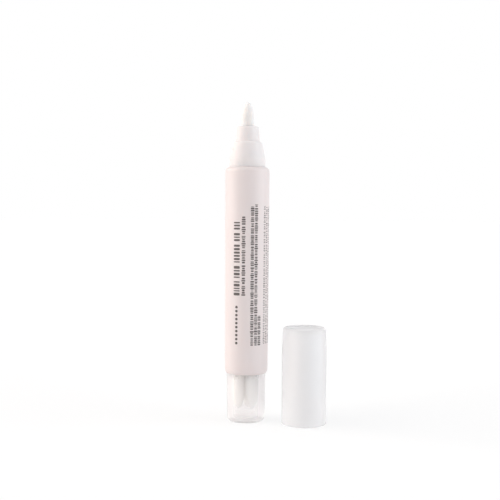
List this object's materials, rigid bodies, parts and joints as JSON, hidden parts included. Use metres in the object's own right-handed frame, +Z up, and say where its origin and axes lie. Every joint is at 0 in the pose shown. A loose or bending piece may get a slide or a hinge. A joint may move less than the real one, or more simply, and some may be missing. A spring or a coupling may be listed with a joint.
{
  "type": "nail oil pen",
  "caption": "Felt-tip nail oil pen with a stepped nozzle, a long pale barrel and a clear tail cup that holds spare nibs, with its pull-off frosted cap standing beside it.",
  "frame": {"origin": "middle of the tail cup's flat base, on the pen's axis, at the level that the pen and its cap stand on", "axes": "+Z up along the pen from its base to its nib; +X to the right, towards the cap that stands beside the pen; -Y towards the viewer of the picture"},
  "size_m": [0.0323, 0.0178, 0.1012],
  "materials": {
    "clear_cup": "clear, very slightly frosted",
    "barrel_plastic": "satin pinkish white",
    "nozzle_plastic": "satin white",
    "nib_felt": "pressed fibre",
    "oil_fibre": "fibre soaked in oil",
    "wrap_film": "thin clear film",
    "holder_plastic": "natural white",
    "frosted_cap": "frosted translucent",
    "liner_plastic": "soft natural white"
  },
  "bodies": {
    "tail_cup": {"tail_cup": "clear_cup"},
    "pen": {"barrel": "barrel_plastic", "nozzle": "nozzle_plastic", "reservoir_core": "oil_fibre", "reservoir_film": "wrap_film", "nib_holder": "holder_plastic", "spare_nib_1": "nib_felt", "spare_nib_2": "nib_felt", "spare_nib_3": "nib_felt"},
    "nib": {"nib": "nib_felt"},
    "cap": {"cap_shell": "frosted_cap", "cap_liner": "liner_plastic"}
  },
  "joints": [
    {"name": "pen_lift", "type": "slide", "parent": "tail_cup", "child": "pen", "axis": [0, 0, 1], "range_m": [0, 0.024]},
    {"name": "nib_pull", "type": "slide", "parent": "pen", "child": "nib", "axis": [0, 0, 1], "range_m": [0, 0.026]},
    {"name": "cap_lift", "type": "slide", "parent": "tail_cup", "child": "cap", "axis": [0, 0, 1], "range_m": [0, 0.105]}
  ]
}
